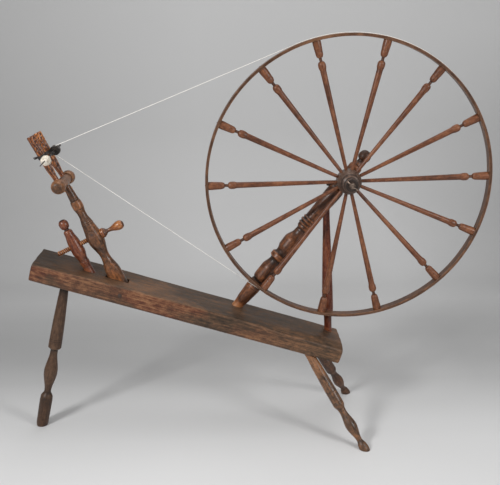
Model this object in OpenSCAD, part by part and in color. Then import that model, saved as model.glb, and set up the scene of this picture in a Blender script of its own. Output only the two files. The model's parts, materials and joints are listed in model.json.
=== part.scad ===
// Great wheel for spinning wool, with a tilting spindle post and a screw that sets
// the tension of the drive band. The bench slopes down to the wheel end, X runs along
// it, the wheel turns about Y, and Z = 0 is the floor.

/* [Wheel] */
// Outside diameter of the bent hoop
wheel_d = 1120; // [960:10:1200]
// Thickness of the hoop, in line with the spokes
rim_t = 12; // [8:1:18]
// Width of the hoop along the axle
rim_w = 38; // [28:1:50]
// Number of spokes
spoke_n = 14; // [10:1:15]
// Turn of the whole ring of spokes about the axle
spoke_turn = 2; // [-12:1:12]
// Diameter of the bulb near the outer end of a spoke
spoke_bulb_d = 30; // [24:1:32]
// Diameter of a spoke where it leaves the hub
spoke_d = 14; // [13:1:16]
// Diameter of the head that meets the hoop
spoke_head_d = 33; // [24:1:36]
// Diameter of the hub's barrel
hub_d = 96; // [84:1:120]
// Reach of the hub in front of the hoop's middle
hub_front = 80; // [70:1:90]
// Reach of the hub behind the hoop's middle
hub_rear = 36; // [30:1:38]
// Diameter of the axle
axle_d = 22; // [16:1:26]
// Height of the axle above the floor
axle_h = 1037; // [1000:1:1120]
// Distance from the bench's middle to the axle
axle_reach = 618; // [580:1:660]
// Diameter of the hoop's nails
nail_d = 2.4; // [1.6:0.2:4]

/* [Bench] */
// Length of the bench
bench_len = 1277; // [1240:1:1360]
// Width of the bench
bench_w = 210; // [190:1:240]
// Distance of the bench's middle behind the plane of the wheel
bench_back = 12; // [0:1:16]
// Thickness of the bench
bench_t = 73; // [66:1:90]
// Slope of the bench down to the wheel end
bench_slope = 17; // [12:0.5:20]
// Height of the bench's top at its middle
bench_h = 559; // [520:1:600]
// Rounding of the bench's long edges
bench_round = 7; // [3:1:12]

/* [Legs] */
// Distance from the bench's middle to the left foot
left_foot_reach = 648; // [600:1:720]
// Distance from the bench's middle to the two feet at the wheel end
right_foot_reach = 682; // [620:1:760]
// Distance of those two feet from the middle line
foot_spread = 240; // [200:1:280]
// Place of the left leg's socket along the bench, from its middle
left_leg_at = 507; // [480:1:560]
// Place of the front leg's socket along the bench
front_leg_at = 513; // [480:1:560]
// Place of the rear leg's socket along the bench
rear_leg_at = 550; // [500:1:580]
// Distance of those two sockets from the middle line
leg_socket_y = 60; // [40:1:64]
// Diameter of the left leg at the bench
left_leg_d = 32; // [26:1:40]
// Diameter of the other legs at the bench
right_leg_d = 36; // [28:1:40]
// Depth of the leg and post sockets in the bench
socket_depth = 48; // [35:1:54]

/* [Wheel post] */
// Place of the wheel post along the bench, from its middle
wheel_post_at = 191; // [180:1:230]
// Distance of the wheel post behind the middle line
wheel_post_y = 66; // [64:1:70]
// Diameter of the wheel post's tenon
wheel_tenon_d = 44; // [36:1:46]
// Diameter of the wheel post at its lower vase
wheel_vase_d = 70; // [60:1:74]
// Diameter of the wheel post at the axle
wheel_neck_d = 56; // [44:1:58]
// Diameter of the ball on top of the wheel post
finial_d = 51; // [36:1:60]
// Place of the brace along the bench
brace_at = 590; // [540:1:610]
// Distance up the wheel post from the bench to the brace
brace_meets = 566; // [520:1:600]
// Diameter of the brace's foot
brace_foot_d = 31; // [24:1:36]
// Diameter of the brace at its thickest
brace_d = 46; // [36:1:54]
// Diameter of the brace at its top
brace_top_d = 28; // [20:1:32]

/* [Spindle post] */
// Place of the spindle post along the bench, from its middle towards the high end
post_at = 313; // [290:1:330]
// Lean of the spindle post towards the high end
post_lean = 25; // [18:0.5:30]
// Diameter of the post's foot
post_foot_d = 62; // [50:1:66]
// Thickness of the foot between its two flats
post_flat = 43; // [34:1:48]
// Diameter of the neck above the foot
post_neck_d = 37; // [30:1:41]
// Diameter of the post's vase
post_vase_d = 66; // [60:1:80]
// Thickness of the vase between its two flat faces
vase_flat = 57; // [54:1:66]
// Diameter of the post's upper bead
post_bead_d = 44; // [38:1:54]
// Diameter of the tenon in the crossbar
post_tenon_d = 22; // [16:1:24]
// Depth of the pivot pin below the bench's top
pivot_depth = 34; // [28:1:40]
// Diameter of the pivot pin
pivot_d = 16; // [10:1:20]
// Room at each end of the slot in the bench for the tilt
slot_room = 4; // [3:0.5:8]
// Room at each side of the post in the slot
side_room = 0.5; // [0.3:0.1:1]

/* [Spindle head] */
// Distance up the post from the bench to the crossbar
bar_up = 436; // [420:1:460]
// Length of the crossbar
bar_len = 240; // [220:1:260]
// Shift of the crossbar and maidens towards the spinner
bar_shift = 12; // [0:1:16]
// Diameter of the crossbar's knobs
bar_knob_d = 55; // [48:1:64]
// Diameter of the crossbar between them
bar_waist_d = 40; // [34:1:44]
// Distance of each maiden from the crossbar's middle
maiden_y = 51; // [48:1:56]
// Distance of the maidens behind the spindle post's axis
maiden_back = 5; // [0:1:6]
// Lean of the maidens beyond the lean of the post
maiden_lean = 2; // [0:0.5:4]
// Length of a maiden above the crossbar's middle
maiden_len = 207; // [180:1:230]
// Diameter of a maiden's lower end
maiden_foot_d = 20; // [16:1:24]
// Diameter of a maiden at its bearing and top
maiden_d = 31; // [24:1:34]
// Height of the spindle above the crossbar
spindle_up = 120; // [100:1:140]
// Distance of the spindle in front of the post's axis, towards the wheel
spindle_out = 29; // [26:1:36]
// Dip of the spindle's point below level
spindle_dip = 2.5; // [0:0.5:4]
// Diameter of the spindle between the maidens
spindle_d = 8; // [6:0.5:10]
// Reach of the spindle's point in front of the middle line
spindle_front = 275; // [250:1:280]
// Reach of the spindle's tail behind the middle line
spindle_rear = 100; // [84:1:120]
// Diameter of the whorl
whorl_d = 38; // [32:1:44]
// Diameter of the whorl's groove
groove_d = 27; // [18:1:30]
// Width of the whorl
whorl_w = 22; // [16:1:28]
// Diameter of the wound yarn
cop_d = 32; // [20:1:40]
// Thickness of the leather
leather_t = 3; // [2:0.5:4]
// Height of the leather round a maiden
leather_w = 13; // [9:1:18]
// Diameter of the drive band
band_d = 2.4; // [1.6:0.2:4]

/* [Tension screw] */
// Place of the tension post along the bench, from its middle towards the high end
tension_at = 427; // [415:1:440]
// Diameter of the tension post's foot
tension_foot_d = 38; // [30:1:44]
// Diameter of the tension post at its thickest
tension_d = 53; // [46:1:60]
// Height of the ball's middle on the tension post above the bench
tension_len = 210; // [200:1:230]
// Distance up the spindle post from the bench to the screw
screw_up = 190; // [184:1:196]
// Rise of the screw towards its knob, beyond square to the post
screw_rise = 0.5; // [0:0.5:3]
// Outside diameter of the screw's thread
screw_d = 21; // [16:1:22]
// Reach of the screw's tip beyond the spindle post
screw_tip = 163; // [145:1:180]
// Diameter of the screw's collar
collar_d = 40; // [32:1:46]
// Diameter of the screw's knob
knob_d = 38; // [30:1:48]
// Room round the thread in the tension post, for the tilt
thread_room = 3.5; // [3.5:0.1:4.5]

/* [Fits] */
// Radial room of a glued or driven joint
tight = 0.05; // [0.02:0.01:0.1]
// Radial room of a fit that turns
running = 0.08; // [0.03:0.01:0.1]
// Room between faces that only meet
apart = 0.3; // [0.3:0.1:0.8]

/* [Hidden] */
function spoke_name(i) = str("spoke_", i < 10 ? "0" : "", i);

$fn = 48;
wheel_r = wheel_d / 2;
rim_in_r = wheel_r - rim_t;

// The middle of the object's length is X = 0, so the bench's middle lies to the left.
left_foot_d = 50;
bench_x = (left_foot_reach + left_foot_d / 2 - axle_reach - wheel_r) / 2;
axle_x = bench_x + axle_reach;

// Point at a distance along the bench's top, across it and above it
function on_top(along, across, up = 0) = [
    bench_x + along * cos(bench_slope) + up * sin(bench_slope),
    across,
    bench_h - along * sin(bench_slope) + up * cos(bench_slope)];

left_foot = [bench_x - left_foot_reach, 0, 0];
front_foot = [bench_x + right_foot_reach, -foot_spread, 0];
rear_foot = [bench_x + right_foot_reach, foot_spread, 0];
left_head = on_top(-left_leg_at, 0, -bench_t);
front_head = on_top(front_leg_at, -leg_socket_y, -bench_t);
rear_head = on_top(rear_leg_at, leg_socket_y, -bench_t);

wheel_post_foot = on_top(wheel_post_at, wheel_post_y);
wheel_post_axle = [axle_x, wheel_post_y, axle_h];
to_axle = norm(wheel_post_axle - wheel_post_foot);
brace_foot = on_top(brace_at, wheel_post_y);
brace_head = wheel_post_foot + (wheel_post_axle - wheel_post_foot) * brace_meets / to_axle;

// The spindle post leans one way and the bench's normal the other.
post_foot = on_top(-post_at, 0);
post_angle = post_lean + bench_slope;
pivot_along = pivot_depth / cos(post_angle);
// From the spindle post to the tension post, which stands parallel to it
tension_out = (tension_at - post_at) * cos(post_angle);
spindle_z = bar_up + spindle_up;
collar_at = post_vase_d / 2 - 3;

// The drive band runs on the hoop's outer face and in the whorl's groove. Its rings
// stand a few degrees apart on the hoop, so their radius clears the chords between.
band_rings = 44;
groove_rings = 12;
chord_room = wheel_r * (1 - cos(3));
band_wheel_r = wheel_r + band_d / 2 + apart + chord_room;
band_whorl_r = groove_d / 2 + band_d / 2 + apart;
whorl_x = post_foot[0] - spindle_z * sin(post_lean) + spindle_out * cos(post_lean);
whorl_z = post_foot[2] + spindle_z * cos(post_lean) + spindle_out * sin(post_lean);
band_dist = norm([whorl_x - axle_x, whorl_z - axle_h]);
band_angle = atan2(whorl_z - axle_h, whorl_x - axle_x);
band_open = acos((band_wheel_r - band_whorl_r) / band_dist);

// A turned outline is a list of stations, each a distance along the axis, a diameter
// and the shape of the stretch that leads up to it: a line, an easy S curve, a dome
// that rises steeply and levels off, or a dive that starts level and drops steeply.
curve_steps = 5;
function ahead(shape, t) = shape == "dome" ? 1 - cos(90 * t) : shape == "dive" ? sin(90 * t) : t;
function across(shape, t) =
    shape == "ease" ? (1 - cos(180 * t)) / 2
    : shape == "dome" ? sin(90 * t)
    : shape == "dive" ? 1 - cos(90 * t)
    : t;
function outline(stations) = [
    [0, stations[0][0]],
    [stations[0][1] / 2, stations[0][0]],
    for (i = [1:len(stations) - 1])
        let (a = stations[i - 1], b = stations[i], n = b[2] == "line" ? 1 : curve_steps)
            for (k = [1:n])
                [(a[1] + (b[1] - a[1]) * across(b[2], k / n)) / 2,
                 a[0] + (b[0] - a[0]) * ahead(b[2], k / n)],
    [0, stations[len(stations) - 1][0]]];

module turned(stations) rotate_extrude() polygon(outline(stations));

// Z of the children runs from a to b, with their origin at a.
module along(a, b) {
    d = b - a;
    translate(a) rotate([0, acos(d[2] / norm(d)), atan2(d[1], d[0])]) children();
}

// How far along a round bar the bench's face cuts across it, either side of its axis
function slant(a, b, d) =
    let (along_normal = abs((b - a) / norm(b - a) * [sin(bench_slope), 0, cos(bench_slope)]))
        d / 2 * sqrt(1 - pow(along_normal, 2)) / along_normal;

module on_bench() translate([bench_x, bench_back, bench_h]) rotate([0, bench_slope, 0]) children();
module on_wheel() translate([axle_x, 0, axle_h]) rotate([90, 0, 0]) children();
module on_post() translate(post_foot) rotate([0, -post_lean, 0]) children();
// Z of the children runs along the screw to its knob, from the post's axis.
module on_screw() on_post() translate([0, 0, screw_up]) rotate([0, 90 - screw_rise, 0]) children();
module on_tension_post()
    translate(on_top(-tension_at, 0)) rotate([0, -post_lean, 0]) children();

// A cylinder whose axis runs along Y, through the middle of its length
module cross_bore(r, length) rotate([90, 0, 0]) cylinder(r = r, h = length, center = true);

// Corners of a rectangle with rounded corners
function rounded(w, t, r) = [
    for (c = [[1, 1, 0], [-1, 1, 90], [-1, -1, 180], [1, -1, 270]], k = [0:4])
        [c[0] * (w / 2 - r) + r * cos(c[2] + 22.5 * k),
         c[1] * (t / 2 - r) + r * sin(c[2] + 22.5 * k)]];

// ---- Bench and legs ----

// A round socket along the line from a to b, as deep as the tenon and a little more
module socket(a, b, d) {
    bottom_room = 1;
    along(b, a) translate([0, 0, -socket_depth - bottom_room])
        cylinder(d = d + 2 * tight, h = socket_depth + bottom_room + bench_t);
}

module bench() color("#5f4a3c") difference() {
    on_bench() translate([0, 0, -bench_t / 2]) rotate([90, 0, 90])
        linear_extrude(bench_len, center = true) polygon(rounded(bench_w, bench_t, bench_round));
    socket(left_foot, left_head, left_leg_d);
    socket(front_foot, front_head, right_leg_d);
    socket(rear_foot, rear_head, right_leg_d);
    socket(wheel_post_axle, wheel_post_foot, wheel_tenon_d);
    socket(brace_head, brace_foot, brace_foot_d);
    socket(on_top(-tension_at, 0) + tension_rise, on_top(-tension_at, 0), tension_foot_d);
    // The slot slants with the spindle post, and the pivot pin crosses it.
    on_post() cube([post_foot_d + 2 * slot_room, post_flat + 2 * side_room, 4 * bench_t], center = true);
    on_post() translate([0, 0, -pivot_along]) cross_bore(pivot_d / 2 + tight, 2 * bench_w);
}

// Direction of the tension post, as a point above its foot
tension_rise = 100 * [-sin(post_lean), 0, cos(post_lean)];

module floor_cut() translate([-2000, -2000, -200]) cube([4000, 4000, 200]);

function left_leg_turning(length) = [
    [-16, 14, "line"], [18, 49, "dome"], [116, 52, "line"], [134, 50, "ease"],
    [162, 28, "ease"], [250, 55, "ease"], [345, 30, "ease"], [352, 31, "line"],
    [366, 54, "ease"], [394, 53, "line"], [485, 48, "line"], [573, 40, "line"],
    [length - 12, left_leg_d, "line"], [length + socket_depth, left_leg_d, "line"]];

// The last stretch is straight from where the slanting face of the bench cuts it.
function right_leg_turning(length, straight) = [
    [-22, 20, "line"], [4, 39, "dome"], [18, 36, "line"], [42, 23, "ease"],
    [106, 46, "ease"], [168, 29, "ease"], [178, 31, "line"], [203, 46, "ease"],
    [265, 46, "line"], [length - straight - 33, 41, "line"],
    [length - straight - 1, right_leg_d, "line"], [length + socket_depth, right_leg_d, "line"]];

module leg_left() color("#4c3a31") difference() {
    along(left_foot, left_head) turned(left_leg_turning(norm(left_head - left_foot)));
    floor_cut();
}
module leg_front() color("#6e4c36") difference() {
    along(front_foot, front_head)
        turned(right_leg_turning(norm(front_head - front_foot), slant(front_foot, front_head, right_leg_d)));
    floor_cut();
}
module leg_rear() color("#4a3328") difference() {
    along(rear_foot, rear_head)
        turned(right_leg_turning(norm(rear_head - rear_foot), slant(rear_foot, rear_head, right_leg_d)));
    floor_cut();
}

// ---- Wheel post, brace and axle ----

key_h = 18;
key_w = 14;
key_tail = 78;
key_head = 34;
key_z = axle_h - axle_d / 2 - apart - key_h / 2;

wheel_post_straight = slant(wheel_post_foot, wheel_post_axle, wheel_tenon_d) + 1;
wheel_post_turning = [
    [-socket_depth, wheel_tenon_d, "line"], [wheel_post_straight, wheel_tenon_d, "line"],
    [50, 54, "ease"], [98, 63, "line"], [134, 59, "line"], [140, 53, "line"], [146, 60, "line"],
    [175, wheel_vase_d - 2, "dome"], [205, wheel_vase_d, "line"], [246, 53, "ease"],
    [251, 53, "line"], [264, 74, "ease"], [276, 73, "line"], [288, 56, "ease"],
    [293, 56, "line"], [322, 72, "ease"], [355, 75, "line"], [397, 49, "ease"],
    [415, 47, "line"], [427, 60, "ease"], [433, 60, "line"], [440, 68, "ease"],
    [447, 60, "ease"], [455, 70, "ease"], [463, 60, "ease"], [470, 66, "ease"],
    [477, 57, "ease"], [503, 58, "line"], [to_axle - 75, 67, "ease"], [to_axle - 62, 67, "line"],
    [to_axle - 48, wheel_neck_d, "ease"], [to_axle + 54, wheel_neck_d, "line"],
    [to_axle + 66, 40, "dive"], [to_axle + 86, 26, "ease"], [to_axle + 92, 26, "line"],
    [to_axle + 111, finial_d, "dome"], [to_axle + 111 + finial_d / 2, 6, "dive"]];

module wheel_post() color("#5b3f30") difference() {
    along(wheel_post_foot, wheel_post_axle) turned(wheel_post_turning);
    translate(wheel_post_axle) cross_bore(axle_d / 2 + tight, 200);
    translate([axle_x, wheel_post_y, key_z])
        cube([300, key_w + 2 * tight, key_h + 2 * tight], center = true);
    along(brace_head, brace_foot) cylinder(d = brace_top_d + 2 * tight, h = 200);
}

// Straight length at the brace's top, as much as lies in the wheel post's slanting bore
brace_neck = 72;
module post_brace() {
    length = norm(brace_head - brace_foot);
    straight = slant(brace_foot, brace_head, brace_foot_d) + 2;
    color("#5a3127") along(brace_foot, brace_head) turned([
        [-socket_depth, brace_foot_d, "line"], [straight, brace_foot_d, "line"],
        [52, brace_foot_d + 1, "line"],
        [98, brace_d, "ease"], [176, brace_d - 1, "line"], [300, 39, "line"],
        [length - brace_neck, brace_top_d, "line"], [length - 1, brace_top_d, "line"]]);
}

axle_rear = wheel_post_y + wheel_neck_d / 2 + 8;
pin_d = 7;
pin_len = 56;
pin_y = hub_front + pin_d / 2 + 1;
module axle_bar() turned([
    [-axle_rear, axle_d - 4, "line"], [-axle_rear + 3, axle_d, "line"],
    [hub_front + 17, axle_d, "line"], [hub_front + 21, axle_d - 6, "line"]]);

module axle() color("#3c302a") difference() {
    on_wheel() axle_bar();
    on_wheel() translate([0, 0, pin_y]) rotate([0, 90, -40])
        cylinder(d = pin_d + 2 * tight, h = 3 * axle_d, center = true);
}
module axle_pin() color("#2c2a2b") on_wheel() translate([0, 0, pin_y]) rotate([0, 90, -40])
    translate([0, 0, -pin_len / 2]) turned([
        [0, pin_d + 3, "line"], [3, pin_d + 3, "line"], [3.5, pin_d, "line"], [pin_len, pin_d - 2, "line"]]);
module axle_key() color("#33241d") translate([axle_x, wheel_post_y, key_z])
    rotate([90, 0, 0]) linear_extrude(key_w, center = true) polygon([
        [-key_tail, -key_h / 2 + 2], [-key_tail + 3, -key_h / 2], [key_head, -key_h / 2 + 3],
        [key_head, key_h / 2 - 1], [-key_tail + 3, key_h / 2], [-key_tail, key_h / 2 - 2]]);

// ---- Wheel ----

spoke_tenon_d = 12;
spoke_tenon_in = 33;
spoke_step = 360 / spoke_n;
// The sockets were bored by eye, so each spoke strays a little from even spacing.
spoke_drift = [0, -1, -1.5, -2.5, 0, -2, -0.5, -0.5, 1.5, -0.5, 1, -0.5, 2.5, 1.5];
// Spoke i leaves the hub at this angle above +X.
function spoke_angle(i) = spoke_turn + (i - 1) * spoke_step + spoke_drift[(i - 1) % len(spoke_drift)];
module at_spoke(i) on_wheel() rotate([0, 0, spoke_angle(i)]) rotate([0, 90, 0]) children();

hub_turning = [
    [-hub_rear, 54, "line"], [-hub_rear + 4, 60, "dome"], [-hub_rear + 8, 60, "line"],
    [-24, hub_d - 4, "ease"], [-21, hub_d, "line"], [21, hub_d, "line"], [25, hub_d - 6, "line"],
    [hub_front - 32, 66, "ease"], [hub_front - 30, 60, "line"], [hub_front - 24, 66, "ease"],
    [hub_front - 18, 52, "ease"], [hub_front - 12, 50, "line"], [hub_front - 7, 54, "ease"],
    [hub_front, 42, "dive"]];

module hub() color("#4a3d36") difference() {
    on_wheel() turned(hub_turning);
    on_wheel() cylinder(r = axle_d / 2 + running, h = 400, center = true);
    for (i = [1:spoke_n])
        at_spoke(i) translate([0, 0, spoke_tenon_in]) cylinder(d = spoke_tenon_d + 2 * tight, h = hub_d);
}

nail_off = 9;
nail_deep = 26;
nail_head_t = 1;
// The spoke's end is flat and the hoop is round, so its edge comes nearest.
spoke_end = sqrt(pow(rim_in_r, 2) - pow(spoke_head_d / 2, 2)) - apart;
module nail_hole(i) at_spoke(i) translate([nail_off, 0, rim_in_r - nail_deep])
    cylinder(d = nail_d + 2 * tight, h = nail_deep + 2 * rim_t);

module spoke(i) color("#7d4a35") difference() {
    at_spoke(i) turned([
        [spoke_tenon_in + 1, spoke_tenon_d, "line"], [hub_d / 2 + 0.5, spoke_tenon_d, "line"],
        [hub_d / 2 + 6, spoke_d, "line"], [rim_in_r - 114, 24, "line"],
        [rim_in_r - 97, spoke_bulb_d, "ease"], [rim_in_r - 91, spoke_bulb_d, "line"],
        [rim_in_r - 77, 12, "dive"],
        [rim_in_r - 64, 12, "line"], [rim_in_r - 47, spoke_head_d - 4, "dome"],
        [rim_in_r - 12, spoke_head_d, "line"], [spoke_end, spoke_head_d - 1, "line"]]);
    nail_hole(i);
}

module rim() color("#6c4733") difference() {
    on_wheel() difference() {
        cylinder(r = wheel_r, h = rim_w, center = true);
        cylinder(r = rim_in_r, h = 2 * rim_w, center = true);
    }
    for (i = [1:spoke_n]) nail_hole(i);
}

module rim_nails() color("#2b2826")
    for (i = [1:spoke_n]) at_spoke(i) translate([nail_off, 0, 0]) {
        translate([0, 0, rim_in_r - nail_deep + 2])
            cylinder(d = nail_d, h = wheel_r - rim_in_r + nail_deep - 1);
        translate([0, 0, wheel_r + 0.1]) cylinder(d = 2 * nail_d, h = nail_head_t);
    }

// ---- Spindle post and head, in the post's own frame ----

post_tenon_end = bar_up + bar_waist_d / 2 - 3;
shoulder = bar_up - bar_waist_d / 2 - apart;
peg_d = 8;
peg_up = shoulder - 14;
post_turning = [
    [-pivot_along - 24, post_foot_d - 4, "line"], [-pivot_along - 18, post_foot_d, "line"],
    [30, post_foot_d, "line"], [104, post_neck_d, "ease"], [180, post_vase_d, "ease"],
    [196, post_vase_d, "line"], [244, 49, "line"], [286, 34, "ease"], [298, 34, "line"],
    [314, post_bead_d - 4, "ease"], [330, post_bead_d, "dome"], [334, post_bead_d, "line"],
    [352, post_bead_d - 7, "dive"], [382, 33, "line"], [shoulder - 4, 29, "line"],
    [shoulder, 28, "line"]];

module spindle_post() color("#6b4a37") difference() {
    on_post() {
        turned(post_turning);
        translate([0, 0, shoulder - 1]) cylinder(d = post_tenon_d, h = post_tenon_end - shoulder + 1);
    }
    // The vase is planed flat in front and behind, where the screw's hole is drilled.
    on_post() for (side = [-1, 1])
        translate([0, side * (vase_flat / 2 + 50), screw_up]) cube([200, 100, 100], center = true);
    // Two flats make the foot a tongue that fits the slot.
    on_post() for (side = [-1, 1])
        translate([0, side * (post_flat / 2 + 50), -pivot_along]) cube([200, 100, 300], center = true);
    on_post() translate([0, 0, -pivot_along]) cross_bore(pivot_d / 2 + running, 200);
    on_screw() cylinder(r = screw_d / 2 + running, h = 200, center = true);
    // A flat seat for the screw's collar
    on_screw() translate([0, 0, collar_at]) cylinder(d = collar_d + 4, h = 60);
    on_post() translate([0, 0, peg_up]) rotate([0, 90, 0])
        cylinder(d = peg_d + 2 * tight, h = 100, center = true);
}

pin_proud = 1.5;
module pivot_pin() color("#3a2b24") on_post() translate([0, 0, -pivot_along])
    rotate([90, 0, 0]) translate([0, 0, -bench_back - bench_w / 2 - pin_proud]) turned([
        [0, pivot_d - 3, "line"], [1.5, pivot_d, "line"],
        [bench_w + 2 * pin_proud - 1.5, pivot_d, "line"], [bench_w + 2 * pin_proud, pivot_d - 3, "line"]]);

knob_mid = bar_len / 2 - bar_knob_d / 2;
half_bar = [
    [maiden_y - 14, bar_waist_d, "line"], [knob_mid - 25, bar_waist_d - 4, "line"],
    [knob_mid, bar_knob_d, "dome"], [bar_len / 2, 18, "dive"]];
bar_turning = concat(
    [for (i = [3:-1:0]) [-half_bar[i][0], half_bar[i][1], ["line", "dive", "dome", "line"][i]]],
    half_bar);
maiden_in = 8;
// Side is -1 for the maiden in front and 1 for the one behind.
module on_maiden(side) on_post() translate([-maiden_back, side * maiden_y - bar_shift, bar_up])
    rotate([0, -maiden_lean, 0]) children();

module crossbar() color("#5e4a3f") difference() {
    on_post() translate([0, -bar_shift, bar_up]) rotate([90, 0, 0]) turned(bar_turning);
    on_post() cylinder(d = post_tenon_d + 2 * tight, h = 2 * bar_up);
    for (side = [-1, 1]) on_maiden(side) translate([0, 0, maiden_in - 1])
        cylinder(d = maiden_foot_d + 2 * tight, h = maiden_len);
}

module crossbar_peg() color("#a9713f") on_post() translate([0, 0, peg_up]) rotate([0, 90, 0])
    translate([0, 0, -26]) turned([
        [0, peg_d - 2, "line"], [2, peg_d, "line"], [40, peg_d, "line"], [42, peg_d - 2, "line"]]);

// The leather sits on a straight stretch of the maiden.
band_seat = leather_w / 2 + 4;
module maiden(side) on_maiden(side) turned([
    [maiden_in, maiden_foot_d, "line"], [bar_waist_d / 2 + 4, maiden_foot_d, "line"],
    [spindle_up - band_seat - 30, maiden_d - 2, "ease"], [spindle_up - band_seat, maiden_d, "line"],
    [spindle_up + band_seat, maiden_d, "line"], [maiden_len - 3, maiden_d + 1, "line"],
    [maiden_len, maiden_d - 2, "line"]]);
module maiden_front() color("#a2683f") maiden(-1);
module maiden_rear() color("#8d5a39") maiden(1);

// Leather tied round a maiden, with a loop towards the wheel that holds the spindle
tail_len = 22;
module bearing(side) {
    loop_r = spindle_d / 2 + running + leather_t;
    tie_r = maiden_d / 2 + tight + leather_t;
    loop_at = bar_shift - side * maiden_y;
    difference() {
        union() {
            on_maiden(side) translate([0, 0, spindle_up]) {
                cylinder(r = tie_r, h = leather_w, center = true);
                translate([-tie_r - tail_len, -leather_w / 2, -leather_t])
                    cube([tail_len + leather_t, leather_w, 2 * leather_t]);
            }
            on_spindle() translate([0, 0, loop_at]) {
                cylinder(r = loop_r, h = leather_w, center = true);
                translate([-spindle_out - maiden_back, -leather_t, -leather_w / 2])
                    cube([spindle_out + maiden_back, 2 * leather_t, leather_w]);
            }
        }
        on_maiden(side) cylinder(d = maiden_d + 2 * tight, h = 2 * spindle_up);
        on_spindle() cylinder(d = spindle_d + 2 * running, h = 3 * bar_len, center = true);
    }
}
module bearing_front() color("#241f1d") bearing(-1);
module bearing_rear() color("#241f1d") bearing(1);

// ---- Spindle, with Z of the children towards its point ----

module on_spindle() on_post() translate([spindle_out, 0, spindle_z])
    rotate([90 + spindle_dip, 0, 0]) children();
taper_from = maiden_y + bar_shift + leather_w;
point_d = 3;
function spindle_turning(room) = [
    [-spindle_rear, spindle_d - 3 + 2 * room, "line"], [-spindle_rear + 4, spindle_d + 2 * room, "line"],
    [taper_from, spindle_d + 2 * room, "line"], [spindle_front, point_d + 2 * room, "line"]];

module spindle() color("#2e2a2a") on_spindle() turned(spindle_turning(0));

module whorl() color("#1f1c1b") on_spindle() difference() {
    turned([
        [-whorl_w / 2, whorl_d - 8, "line"], [-whorl_w / 2 + 3, whorl_d, "dome"],
        [-whorl_w / 4, whorl_d, "line"], [-band_d / 2, groove_d, "line"],
        [band_d / 2, groove_d, "line"], [whorl_w / 4, whorl_d, "line"],
        [whorl_w / 2 - 3, whorl_d, "line"], [whorl_w / 2, whorl_d - 8, "dive"]]);
    cylinder(d = spindle_d + 2 * tight, h = 2 * whorl_w, center = true);
}

cop_from = taper_from + 62;
cop_to = spindle_front - 78;
module yarn_cop() color("#e8e4da") on_spindle() difference() {
    turned([
        [cop_from, 14, "line"], [cop_from + 11, cop_d - 4, "dome"], [cop_from + 22, cop_d, "ease"],
        [cop_from + 36, cop_d - 4, "ease"], [cop_to, 12, "dive"]]);
    turned(spindle_turning(tight));
}

// ---- Tension post and screw ----

module tension_post() color("#5d3329") difference() {
    on_tension_post() turned([
        [-socket_depth, tension_foot_d, "line"], [20, tension_foot_d - 2, "line"],
        [42, tension_foot_d + 3, "ease"], [48, tension_foot_d, "ease"],
        [90, tension_d, "ease"], [124, tension_d - 3, "line"], [tension_len - 38, 37, "ease"],
        [tension_len - 26, 20, "dive"], [tension_len - 20, 20, "line"],
        [tension_len, 39, "dome"], [tension_len + 19, 6, "dive"]]);
    on_screw() translate([0, 0, -tension_out])
        cylinder(r = screw_d / 2 + thread_room, h = 2 * tension_d, center = true);
}

module tension_screw() color("#a9703c") on_screw()
    turned([
        [-screw_tip, screw_d - 5, "line"], [-screw_tip + 4, screw_d, "line"],
        [collar_at + apart, screw_d, "line"], [collar_at + apart, collar_d - 3, "line"],
        [collar_at + 2, collar_d, "line"], [collar_at + 11, collar_d, "line"],
        [collar_at + 14, collar_d - 6, "line"], [collar_at + 28, 16, "ease"],
        [collar_at + 34, 16, "line"], [collar_at + 78, knob_d, "ease"],
        [collar_at + 97, 8, "dive"]]);

// ---- Drive band: one closed tube round the hoop and the whorl ----

band_path = concat(
    [for (k = [0:band_rings])
        let (a = band_angle + band_open + (360 - 2 * band_open) * k / band_rings)
            [axle_x + band_wheel_r * cos(a), axle_h + band_wheel_r * sin(a), a]],
    [for (k = [0:groove_rings])
        let (a = band_angle - band_open + 2 * band_open * k / groove_rings)
            [whorl_x + band_whorl_r * cos(a), whorl_z + band_whorl_r * sin(a), a]]);
band_sides = 8;

module drive_band() {
    rings = len(band_path);
    points = [for (p = band_path, j = [0:band_sides - 1])
        let (out = band_d / 2 * cos(360 * j / band_sides), side = band_d / 2 * sin(360 * j / band_sides))
            [p[0] + out * cos(p[2]), side, p[1] + out * sin(p[2])]];
    faces = [for (i = [0:rings - 1], j = [0:band_sides - 1])
        let (a = i * band_sides, b = (i + 1) % rings * band_sides, k = (j + 1) % band_sides)
            [a + j, a + k, b + k, b + j]];
    color("#e9e6dd") polyhedron(points, faces);
}

bench();
leg_left();
leg_front();
leg_rear();
wheel_post();
post_brace();
axle();
axle_pin();
axle_key();
hub();
rim();
rim_nails();
for (i = [1:spoke_n]) spoke(i);
spindle_post();
pivot_pin();
crossbar();
crossbar_peg();
maiden_front();
maiden_rear();
bearing_front();
bearing_rear();
spindle();
whorl();
yarn_cop();
tension_post();
tension_screw();
drive_band();
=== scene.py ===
# %% [markdown]
# # A great wheel for spinning wool
# The spinner stands, turns the big wheel with one hand and draws the wool with the other.
# This lesson dresses a finished CAD model: the frame says where each piece is, and the cells
# below make its surfaces. We could paint the CAD solids alone, but turned wood, thread,
# leather and wool need finer shapes, so most pieces are made again here.

# %% Load the frame
import json
import math

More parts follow.
